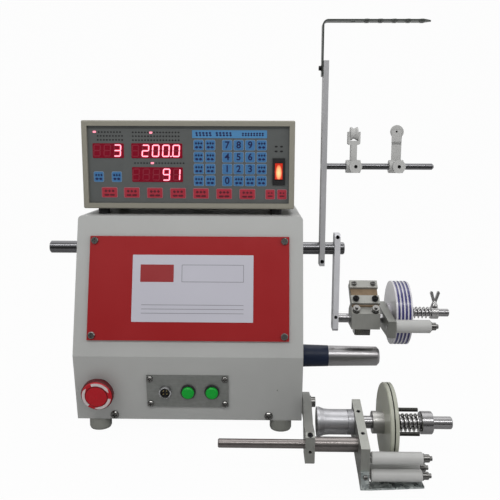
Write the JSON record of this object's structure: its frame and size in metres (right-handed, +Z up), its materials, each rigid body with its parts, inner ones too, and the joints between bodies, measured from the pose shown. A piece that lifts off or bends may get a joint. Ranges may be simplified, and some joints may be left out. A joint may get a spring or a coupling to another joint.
{
  "type": "coil winding machine",
  "caption": "Bench-top motorised coil winder with keypad controller, traverse shaft with wire guides, felt tensioner and disc brake.",
  "frame": {"origin": "on the table, in the middle of the four feet", "axes": "+X along the spindle towards its nose, +Y to the back, +Z up"},
  "size_m": [0.5325, 0.4438, 0.5175],
  "materials": {
    "alu": "satin",
    "belt": "matte",
    "black_plastic": "matte",
    "black_steel": "satin",
    "board": "matte",
    "casing": "satin",
    "chassis": "satin",
    "chrome": "polished",
    "ctrl": "matte",
    "disc": "matte",
    "felt": "matte",
    "galv": "satin",
    "green": "gloss",
    "keypad": "matte",
    "motor": "satin",
    "navy": "satin",
    "plate": "satin",
    "red": "satin",
    "rocker": "gloss",
    "rubber": "matte",
    "steel": "satin",
    "stop": "gloss",
    "wheel": "matte",
    "white": "matte"
  },
  "bodies": {
    "frame": {"bearings": "steel", "brake_shaft": "steel", "brake_spring": "steel", "casing_shell": "casing", "chassis": "chassis", "circuit_boards": "board", "controller_case": "ctrl", "drive_belt": "belt", "drive_motor": "motor", "electrical_fittings": "black_plastic", "inner_frame": "alu", "keypad_panel": "keypad", "lower_link": "alu", "machine_screws": "steel", "power_frame": "black_plastic", "red_panel": "red", "roller_guard": "galv", "roller_plate": "alu", "rubber_feet": "rubber", "set_screws": "black_steel", "support_rod": "steel", "switch_plate": "plate", "traverse_motor": "motor"},
    "start_button": {"start_button": "green"},
    "reset_button": {"reset_button": "green"},
    "stop_head": {"stop_head": "stop"},
    "power_rocker": {"power_rocker": "rocker"},
    "spindle": {"spindle": "steel", "spindle_sleeve": "navy", "spindle_pulley": "alu"},
    "motor_rotor": {"motor_pulley": "alu"},
    "lead_screw": {"lead_screw": "steel"},
    "traverse": {"traverse_shaft": "chrome", "traverse_carriage": "alu", "mast": "alu", "guide_strip": "steel", "guide_eyelets": "chrome", "cross_rod": "chrome", "guide_arms": "white", "upper_link": "alu", "tension_rod": "steel", "felt_clamp": "alu", "felt_pads": "felt", "wheel_arm": "alu", "wheel_shaft": "steel", "wheel_spring": "steel", "spring_collar": "steel", "tension_screws": "steel", "tension_set_screws": "black_steel"},
    "guide_wheel_left": {"guide_wheel_left": "white"},
    "guide_wheel_right": {"guide_wheel_right": "white"},
    "wire_wheel": {"wire_wheel": "wheel"},
    "guide_roller": {"guide_roller": "white"},
    "drum": {"drum": "steel"},
    "brake_discs": {"brake_disc_inner": "disc", "brake_disc_outer": "disc"},
    "brake_nut": {"brake_nut": "steel"},
    "roller_upper": {"roller_upper": "white"},
    "roller_middle": {"roller_middle": "white"},
    "roller_lower": {"roller_lower": "white"}
  },
  "joints": [
    {"name": "start_press", "type": "slide", "parent": "frame", "child": "start_button", "axis": [0, 0.9906, 0.1366], "range_m": [0, 0.003], "stiffness_N_per_m": 300, "springref_m": -0.001},
    {"name": "reset_press", "type": "slide", "parent": "frame", "child": "reset_button", "axis": [0, 0.9906, 0.1366], "range_m": [0, 0.003], "stiffness_N_per_m": 300, "springref_m": -0.001},
    {"name": "stop_press", "type": "slide", "parent": "frame", "child": "stop_head", "axis": [0, 0.9906, 0.1366], "range_m": [0, 0.004], "stiffness_N_per_m": 600, "springref_m": -0.001},
    {"name": "power_switch", "type": "hinge", "parent": "frame", "child": "power_rocker", "pos_m": [0.1125, -0.084, 0.33], "axis": [1, 0, 0], "range_deg": [0, 14]},
    {"name": "spindle_spin", "type": "hinge", "parent": "frame", "child": "spindle", "pos_m": [0.15, -0.084, 0.0846], "axis": [1, 0, 0], "continuous": true},
    {"name": "motor_spin", "type": "hinge", "parent": "frame", "child": "motor_rotor", "pos_m": [0, 0.05, 0.0846], "axis": [1, 0, 0], "continuous": true},
    {"name": "traverse_slide", "type": "slide", "parent": "frame", "child": "traverse", "axis": [1, 0, 0], "range_m": [-0.02, 0.03]},
    {"name": "lead_screw_turn", "type": "hinge", "parent": "frame", "child": "lead_screw", "pos_m": [0, -0.04, 0.2307], "axis": [1, 0, 0], "range_deg": [-1450, 2170]},
    {"name": "guide_spin_left", "type": "hinge", "parent": "traverse", "child": "guide_wheel_left", "pos_m": [0.2075, -0.084, 0.3782], "axis": [1, 0, 0], "continuous": true},
    {"name": "guide_spin_right", "type": "hinge", "parent": "traverse", "child": "guide_wheel_right", "pos_m": [0.262, -0.084, 0.3807], "axis": [0.2588, 0.9659, 0], "continuous": true},
    {"name": "wire_wheel_spin", "type": "hinge", "parent": "traverse", "child": "wire_wheel", "pos_m": [0.28, -0.06, 0.139], "axis": [1, 0, 0], "continuous": true},
    {"name": "guide_roller_spin", "type": "hinge", "parent": "traverse", "child": "guide_roller", "pos_m": [0.285, -0.112, 0.134], "axis": [1, 0, 0], "continuous": true},
    {"name": "drum_spin", "type": "hinge", "parent": "frame", "child": "drum", "pos_m": [0.175, -0.225, 0.054], "axis": [1, 0, 0], "continuous": true},
    {"name": "brake_disc_spin", "type": "hinge", "parent": "frame", "child": "brake_discs", "pos_m": [0.23, -0.225, 0.054], "axis": [1, 0, 0], "continuous": true},
    {"name": "brake_nut_turn", "type": "hinge", "parent": "frame", "child": "brake_nut", "pos_m": [0.275, -0.225, 0.054], "axis": [1, 0, 0], "continuous": true},
    {"name": "roller_upper_spin", "type": "hinge", "parent": "frame", "child": "roller_upper", "pos_m": [0.23, -0.278, 0.038], "axis": [1, 0, 0], "continuous": true},
    {"name": "roller_middle_spin", "type": "hinge", "parent": "frame", "child": "roller_middle", "pos_m": [0.23, -0.2646, 0.0206], "axis": [1, 0, 0], "continuous": true},
    {"name": "roller_lower_spin", "type": "hinge", "parent": "frame", "child": "roller_lower", "pos_m": [0.23, -0.278, 0.0185], "axis": [1, 0, 0], "continuous": true}
  ],
  "couplings": [
    {"joint": "motor_spin", "follows": "spindle_spin", "ratio": 2},
    {"joint": "lead_screw_turn", "follows": "traverse_slide", "rad_per_m": 1256.6}
  ]
}
